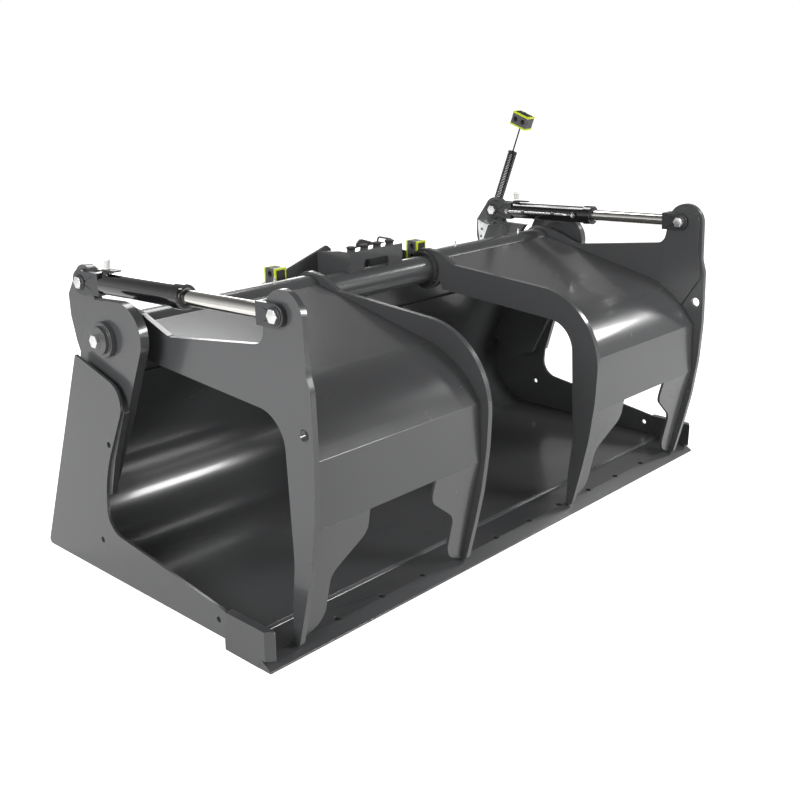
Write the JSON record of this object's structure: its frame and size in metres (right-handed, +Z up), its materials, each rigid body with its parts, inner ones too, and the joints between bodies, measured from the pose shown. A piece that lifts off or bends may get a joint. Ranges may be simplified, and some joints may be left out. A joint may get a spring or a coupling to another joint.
{
  "type": "grapple bucket",
  "caption": "Wide loader bucket with open sides and a rolled back, two covered grapples on one cross tube, each swung by a hydraulic cylinder, and a rear quick-attach plate.",
  "frame": {"origin": "on the ground plane, mid width, directly below the axis of the grapples' pivot tube", "axes": "+X to the right end seen from the loader's seat, across the bucket; -Y out of the mouth; +Z up"},
  "size_m": [1.997, 1.1188, 1.1515],
  "materials": {
    "grey_paint": "satin",
    "edge_paint": "satin",
    "clevis_paint": "satin",
    "black_gloss": "gloss",
    "chrome": "polished",
    "zinc": "satin",
    "piston_steel": "satin",
    "bush_steel": "satin",
    "lime_paint": "satin",
    "clamp_grey": "matte",
    "spring_black": "satin"
  },
  "bodies": {
    "bucket": {"bucket_shell": "grey_paint", "top_rail": "grey_paint", "cutting_edge": "edge_paint", "wear_bars": "edge_paint", "side_plate_left": "grey_paint", "side_plate_right": "grey_paint", "side_cutter_left": "edge_paint", "side_cutter_right": "edge_paint", "side_doublers": "grey_paint", "pivot_ear_left": "grey_paint", "pivot_ear_right": "grey_paint", "cylinder_ear_left": "grey_paint", "cylinder_ear_right": "grey_paint", "attach_plate": "grey_paint", "attach_ribs": "grey_paint", "pivot_tube": "grey_paint", "tube_plugs": "edge_paint", "pivot_caps": "grey_paint", "pivot_bolts": "zinc", "back_guard": "grey_paint", "step": "grey_paint", "clamp_bodies": "clamp_grey", "clamp_plates": "lime_paint", "hose_bracket": "zinc", "spring_socket": "grey_paint"},
    "grapple_left_body": {"arm_outer_left": "grey_paint", "arm_inner_left": "grey_paint", "cover_left": "grey_paint", "apron_left": "grey_paint", "hub_sleeve_left": "grey_paint", "hub_bushes_left": "bush_steel", "lug_doubler_left": "grey_paint"},
    "rod_left_body": {"rod_left": "chrome", "piston_left": "piston_steel", "rod_clevis_left": "clevis_paint", "rod_pin_left": "zinc"},
    "barrel_left_body": {"barrel_left": "black_gloss", "base_clevis_left": "clevis_paint", "gland_left": "black_gloss", "base_pin_left": "zinc"},
    "grapple_right_body": {"arm_outer_right": "grey_paint", "arm_inner_right": "grey_paint", "cover_right": "grey_paint", "apron_right": "grey_paint", "hub_sleeve_right": "grey_paint", "hub_bushes_right": "bush_steel", "lug_doubler_right": "grey_paint"},
    "rod_right_body": {"rod_right": "chrome", "piston_right": "piston_steel", "rod_clevis_right": "clevis_paint", "rod_pin_right": "zinc"},
    "barrel_right_body": {"barrel_right": "black_gloss", "base_clevis_right": "clevis_paint", "gland_right": "black_gloss", "base_pin_right": "zinc"},
    "hose_guide": {"hose_spring": "spring_black", "spring_stem": "spring_black", "spring_clamp": "clamp_grey", "spring_clamp_plates": "lime_paint"}
  },
  "joints": [
    {"name": "grapple_left_swing", "type": "hinge", "parent": "bucket", "child": "grapple_left_body", "pos_m": [0, 0, 0.686], "axis": [-1, 0, 0], "range_deg": [0, 60]},
    {"name": "cylinder_left_pin", "type": "hinge", "parent": "grapple_left_body", "child": "rod_left_body", "pos_m": [-0.876, -0.576, 0.83], "axis": [-1, 0, 0], "range_deg": [-12, 0]},
    {"name": "cylinder_left_stroke", "type": "slide", "parent": "rod_left_body", "child": "barrel_left_body", "axis": [0, -0.9989, 0.0478], "range_m": [0, 0.18]},
    {"name": "grapple_right_swing", "type": "hinge", "parent": "bucket", "child": "grapple_right_body", "pos_m": [0, 0, 0.686], "axis": [-1, 0, 0], "range_deg": [0, 60]},
    {"name": "cylinder_right_pin", "type": "hinge", "parent": "grapple_right_body", "child": "rod_right_body", "pos_m": [0.876, -0.576, 0.83], "axis": [-1, 0, 0], "range_deg": [-12, 0]},
    {"name": "cylinder_right_stroke", "type": "slide", "parent": "rod_right_body", "child": "barrel_right_body", "axis": [0, -0.9989, 0.0478], "range_m": [0, 0.18]},
    {"name": "hose_guide_bend", "type": "hinge", "parent": "bucket", "child": "hose_guide", "pos_m": [0.93, 0.245, 0.784], "axis": [1, 0, 0], "range_deg": [-20, 20], "stiffness_Nm_per_rad": 8}
  ],
  "couplings": [
    {"joint": "cylinder_left_pin", "follows": "grapple_left_swing", "ratio": -0.195},
    {"joint": "cylinder_left_stroke", "follows": "grapple_left_swing", "m_per_rad": 0.17},
    {"joint": "cylinder_right_pin", "follows": "grapple_right_swing", "ratio": -0.195},
    {"joint": "cylinder_right_stroke", "follows": "grapple_right_swing", "m_per_rad": 0.17}
  ]
}
